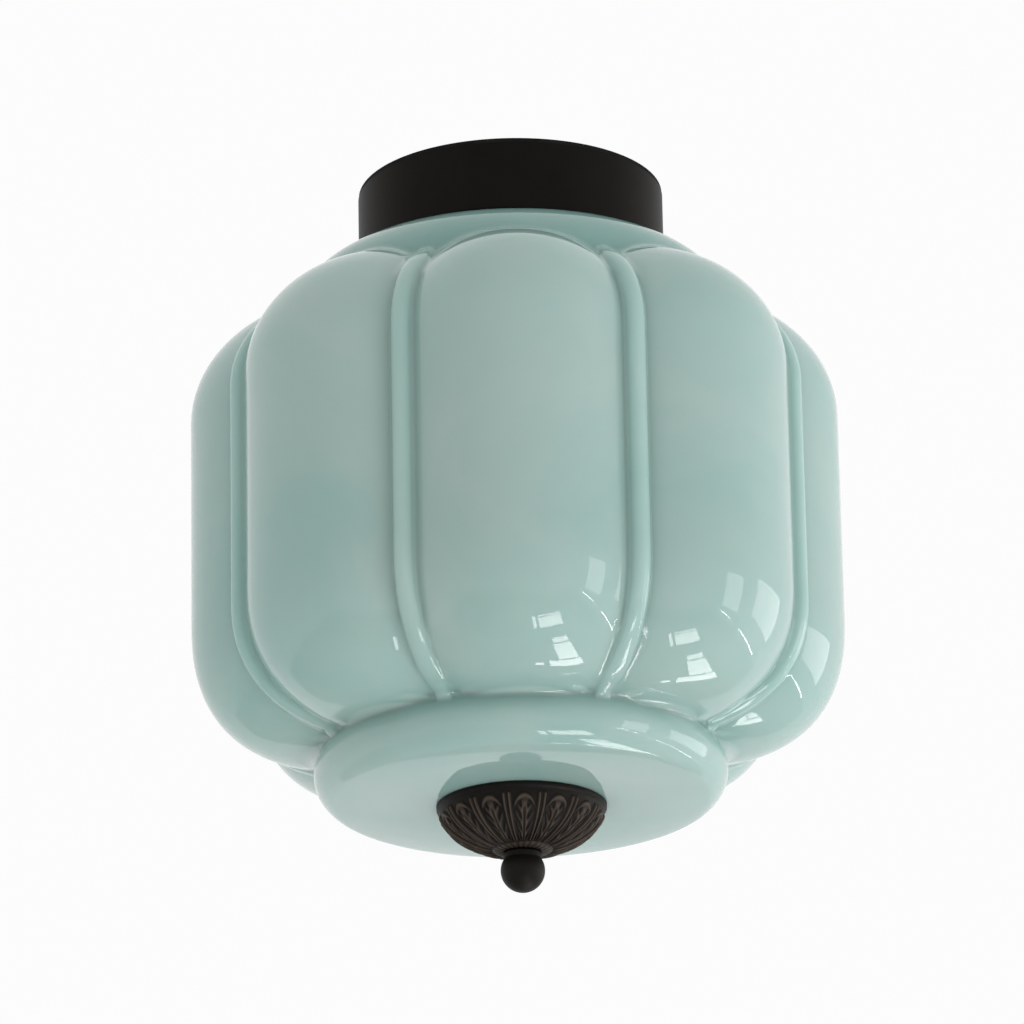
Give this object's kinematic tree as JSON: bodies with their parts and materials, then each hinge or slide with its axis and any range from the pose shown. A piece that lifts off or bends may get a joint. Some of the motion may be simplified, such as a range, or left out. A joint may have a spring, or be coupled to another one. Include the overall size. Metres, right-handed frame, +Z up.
{
  "type": "porch ceiling lantern",
  "caption": "Flush porch ceiling lantern: lobed opal glass shade with beaded valleys, dark round canopy, cast leaf cap and ball finial on a central threaded tube.",
  "frame": {"origin": "on the ceiling plane, at the middle of the crossbar between the two ceiling screw holes", "axes": "+Z up into the ceiling along the lantern's axis, +X along the crossbar, -Y towards the viewer of the picture"},
  "size_m": [0.301, 0.301, 0.3414],
  "materials": {
    "canopy_paint": "dark bronze enamel, satin",
    "zinc_steel": "zinc plated, dull",
    "brass": "plain, unlacquered",
    "opal_glass": "mint opaline glass, glossy",
    "cast_bronze": "cast, dark bronze paint, satin",
    "black_rubber": "moulded, matte",
    "porcelain": "glazed white porcelain",
    "lamp_glass": "frosted",
    "lamp_cap_metal": "rolled, bright",
    "lamp_insulator": "black fused glass",
    "block_plastic": "moulded, matte",
    "lead_brown": "brown insulation",
    "lead_blue": "blue insulation",
    "lead_earth": "green and yellow insulation"
  },
  "bodies": {
    "root": {"mounting_crossbar": "zinc_steel", "earth_screw": "brass", "earth_lug": "brass", "earth_lead": "lead_earth", "terminal_block": "block_plastic", "pole_screws": "brass", "block_screws": "zinc_steel", "ceiling_gasket": "black_rubber", "canopy_pan": "canopy_paint", "lead_grommet": "black_rubber", "neck_gasket": "black_rubber", "centre_rod": "zinc_steel", "crossbar_nut": "zinc_steel", "canopy_upper_nut": "zinc_steel", "canopy_lower_nut": "zinc_steel", "bracket_upper_nut": "zinc_steel", "bracket_lower_nut": "zinc_steel", "canopy_upper_washer": "zinc_steel", "canopy_lower_washer": "zinc_steel", "lamp_bracket": "zinc_steel", "holder_screws": "zinc_steel", "lampholder_left": "porcelain", "lampholder_right": "porcelain", "screw_shell_left": "brass", "screw_shell_right": "brass", "contact_tongue_left": "brass", "contact_tongue_right": "brass", "live_lead_left": "lead_brown", "live_lead_right": "lead_brown", "neutral_lead_left": "lead_blue", "neutral_lead_right": "lead_blue"},
    "shade": {"glass_shade": "opal_glass"},
    "cap": {"leaf_cap": "cast_bronze", "cap_gasket": "black_rubber"},
    "finial_ring": {"neck_ring": "canopy_paint"},
    "finial_ball": {"ball_nut": "canopy_paint", "ball_insert": "brass"},
    "lamp_left": {"lamp_globe_left": "lamp_glass", "lamp_cap_left": "lamp_cap_metal", "lamp_insulator_left": "lamp_insulator", "lamp_contact_left": "brass"},
    "lamp_right": {"lamp_globe_right": "lamp_glass", "lamp_cap_right": "lamp_cap_metal", "lamp_insulator_right": "lamp_insulator", "lamp_contact_right": "brass"}
  },
  "joints": [
    {"name": "shade_drop", "type": "slide", "parent": "root", "child": "shade", "axis": [0, 0, -1], "range_m": [0, 0.3]},
    {"name": "cap_drop", "type": "slide", "parent": "shade", "child": "cap", "axis": [0, 0, -1], "range_m": [0, 0.045]},
    {"name": "finial_lower", "type": "slide", "parent": "cap", "child": "finial_ring", "axis": [0, 0, -1], "range_m": [0, 0.0101]},
    {"name": "finial_turn", "type": "hinge", "parent": "finial_ring", "child": "finial_ball", "pos_m": [0, 0, -0.3313], "axis": [0, 0, -1], "range_deg": [0, 3600]},
    {"name": "lamp_left_out", "type": "slide", "parent": "root", "child": "lamp_left", "axis": [0, 0, -1], "range_m": [0, 0.03]},
    {"name": "lamp_right_out", "type": "slide", "parent": "root", "child": "lamp_right", "axis": [0, 0, -1], "range_m": [0, 0.03]}
  ],
  "couplings": [
    {"joint": "finial_lower", "follows": "finial_turn", "m_per_rad": 0.00015915}
  ]
}
